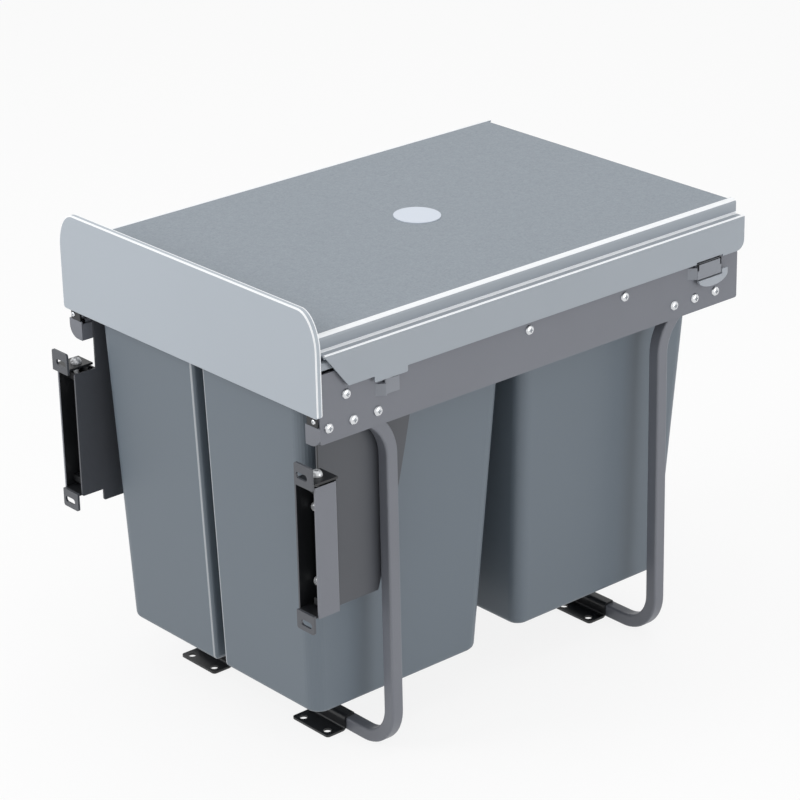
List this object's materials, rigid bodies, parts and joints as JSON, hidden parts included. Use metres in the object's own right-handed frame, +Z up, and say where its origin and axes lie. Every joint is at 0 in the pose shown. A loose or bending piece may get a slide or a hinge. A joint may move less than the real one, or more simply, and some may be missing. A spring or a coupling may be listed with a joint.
{
  "type": "pull-out waste bin unit",
  "caption": "Pull-out waste bin unit for a base cabinet: a carriage on ball slides holds bins under a fixed lid, with bent tube legs and adjustable door brackets.",
  "frame": {"origin": "on the floor, in the middle of the unit's footprint", "axes": "+Z up, +Y from the door to the back of the cabinet, +X to the right seen from the door"},
  "size_m": [0.352, 0.495, 0.418],
  "materials": {
    "grey_paint": "satin grey powder coat",
    "black_paint": "satin black powder coat",
    "zinc": "bright zinc plating",
    "bin_plastic": "smooth moulded blue-grey",
    "silver_plastic": "smooth satin silver grey",
    "lid_plastic": "fine leather grain, mid grey",
    "badge_white": "plain glossy white",
    "clip_plastic": "moulded grey",
    "catch_plastic": "moulded light grey"
  },
  "bodies": {
    "frame": {"front_tube": "grey_paint", "rear_tube": "grey_paint", "foot_front_left": "black_paint", "foot_front_right": "black_paint", "foot_rear_left": "black_paint", "foot_rear_right": "black_paint", "rail_plate_left": "grey_paint", "rail_plate_right": "grey_paint", "rail_screws_left": "zinc", "rail_screws_right": "zinc", "slide_outer_left": "zinc", "slide_outer_right": "zinc", "lid_clip_front_left": "clip_plastic", "lid_clip_front_right": "clip_plastic", "lid_clip_rear_left": "clip_plastic", "lid_clip_rear_right": "clip_plastic", "catch_pin_left": "zinc", "catch_pin_right": "zinc"},
    "lid": {"lid_panel": "lid_plastic", "badge": "badge_white", "lid_profile_left": "silver_plastic", "lid_profile_right": "silver_plastic"},
    "carriage": {"slide_inner_left": "zinc", "slide_inner_right": "zinc", "carriage_rail_left": "grey_paint", "carriage_rail_right": "grey_paint", "carriage_front_bar": "grey_paint", "carriage_middle_bar": "grey_paint", "carriage_rear_bar": "grey_paint", "carriage_divider": "grey_paint", "bin_front_left": "bin_plastic", "bin_front_right": "bin_plastic", "bin_rear": "bin_plastic", "front_panel": "silver_plastic", "panel_screws": "zinc", "panel_bracket_left": "grey_paint", "panel_bracket_right": "grey_paint", "side_plate_left": "grey_paint", "side_plate_right": "grey_paint", "door_channel_left": "grey_paint", "door_channel_right": "grey_paint", "lock_screws_left": "zinc", "lock_screws_right": "zinc"},
    "slide_middle_left": {"slide_middle_left": "zinc"},
    "ball_cage_outer_left": {"ball_cage_outer_left": "zinc"},
    "ball_cage_inner_left": {"ball_cage_inner_left": "zinc"},
    "door_plate_left": {"door_plate_left": "grey_paint"},
    "height_screw_upper_left": {"height_screw_upper_left": "zinc"},
    "height_screw_lower_left": {"height_screw_lower_left": "zinc"},
    "lid_catch_left": {"lid_catch_left": "catch_plastic"},
    "slide_middle_right": {"slide_middle_right": "zinc"},
    "ball_cage_outer_right": {"ball_cage_outer_right": "zinc"},
    "ball_cage_inner_right": {"ball_cage_inner_right": "zinc"},
    "door_plate_right": {"door_plate_right": "grey_paint"},
    "height_screw_upper_right": {"height_screw_upper_right": "zinc"},
    "height_screw_lower_right": {"height_screw_lower_right": "zinc"},
    "lid_catch_right": {"lid_catch_right": "catch_plastic"}
  },
  "joints": [
    {"name": "pull_out", "type": "slide", "parent": "frame", "child": "carriage", "axis": [0, -1, 0], "range_m": [0, 0.43]},
    {"name": "lid_lift", "type": "slide", "parent": "frame", "child": "lid", "axis": [0, 0, 1], "range_m": [0, 0.12]},
    {"name": "slide_middle_left_run", "type": "slide", "parent": "frame", "child": "slide_middle_left", "axis": [0, -1, 0], "range_m": [0, 0.215]},
    {"name": "ball_cage_outer_left_run", "type": "slide", "parent": "frame", "child": "ball_cage_outer_left", "axis": [0, -1, 0], "range_m": [0, 0.1075]},
    {"name": "ball_cage_inner_left_run", "type": "slide", "parent": "frame", "child": "ball_cage_inner_left", "axis": [0, -1, 0], "range_m": [0, 0.3225]},
    {"name": "door_height_left", "type": "slide", "parent": "carriage", "child": "door_plate_left", "axis": [0, 0, 1], "range_m": [-0.0015, 0.0015]},
    {"name": "height_turn_upper_left", "type": "hinge", "parent": "door_plate_left", "child": "height_screw_upper_left", "pos_m": [-0.1632, -0.232, 0.2801], "axis": [0, 0, 1], "range_deg": [-680, 680]},
    {"name": "height_turn_lower_left", "type": "hinge", "parent": "door_plate_left", "child": "height_screw_lower_left", "pos_m": [-0.1632, -0.232, 0.1574], "axis": [0, 0, 1], "range_deg": [-680, 680]},
    {"name": "catch_press_left", "type": "hinge", "parent": "frame", "child": "lid_catch_left", "pos_m": [-0.174, 0.2045, 0.34], "axis": [0, -1, 0], "range_deg": [0, 12], "stiffness_Nm_per_rad": 0.04},
    {"name": "slide_middle_right_run", "type": "slide", "parent": "frame", "child": "slide_middle_right", "axis": [0, -1, 0], "range_m": [0, 0.215]},
    {"name": "ball_cage_outer_right_run", "type": "slide", "parent": "frame", "child": "ball_cage_outer_right", "axis": [0, -1, 0], "range_m": [0, 0.1075]},
    {"name": "ball_cage_inner_right_run", "type": "slide", "parent": "frame", "child": "ball_cage_inner_right", "axis": [0, -1, 0], "range_m": [0, 0.3225]},
    {"name": "door_height_right", "type": "slide", "parent": "carriage", "child": "door_plate_right", "axis": [0, 0, 1], "range_m": [-0.0015, 0.0015]},
    {"name": "height_turn_upper_right", "type": "hinge", "parent": "door_plate_right", "child": "height_screw_upper_right", "pos_m": [0.1632, -0.232, 0.2801], "axis": [0, 0, 1], "range_deg": [-680, 680]},
    {"name": "height_turn_lower_right", "type": "hinge", "parent": "door_plate_right", "child": "height_screw_lower_right", "pos_m": [0.1632, -0.232, 0.1574], "axis": [0, 0, 1], "range_deg": [-680, 680]},
    {"name": "catch_press_right", "type": "hinge", "parent": "frame", "child": "lid_catch_right", "pos_m": [0.174, 0.2045, 0.34], "axis": [0, 1, 0], "range_deg": [0, 12], "stiffness_Nm_per_rad": 0.04}
  ],
  "couplings": [
    {"joint": "slide_middle_left_run", "follows": "pull_out", "ratio": 0.5},
    {"joint": "ball_cage_outer_left_run", "follows": "pull_out", "ratio": 0.25},
    {"joint": "ball_cage_inner_left_run", "follows": "pull_out", "ratio": 0.75},
    {"joint": "height_turn_upper_left", "follows": "door_height_left", "rad_per_m": 7854},
    {"joint": "height_turn_lower_left", "follows": "door_height_left", "rad_per_m": 7854},
    {"joint": "slide_middle_right_run", "follows": "pull_out", "ratio": 0.5},
    {"joint": "ball_cage_outer_right_run", "follows": "pull_out", "ratio": 0.25},
    {"joint": "ball_cage_inner_right_run", "follows": "pull_out", "ratio": 0.75},
    {"joint": "height_turn_upper_right", "follows": "door_height_right", "rad_per_m": 7854},
    {"joint": "height_turn_lower_right", "follows": "door_height_right", "rad_per_m": 7854}
  ]
}
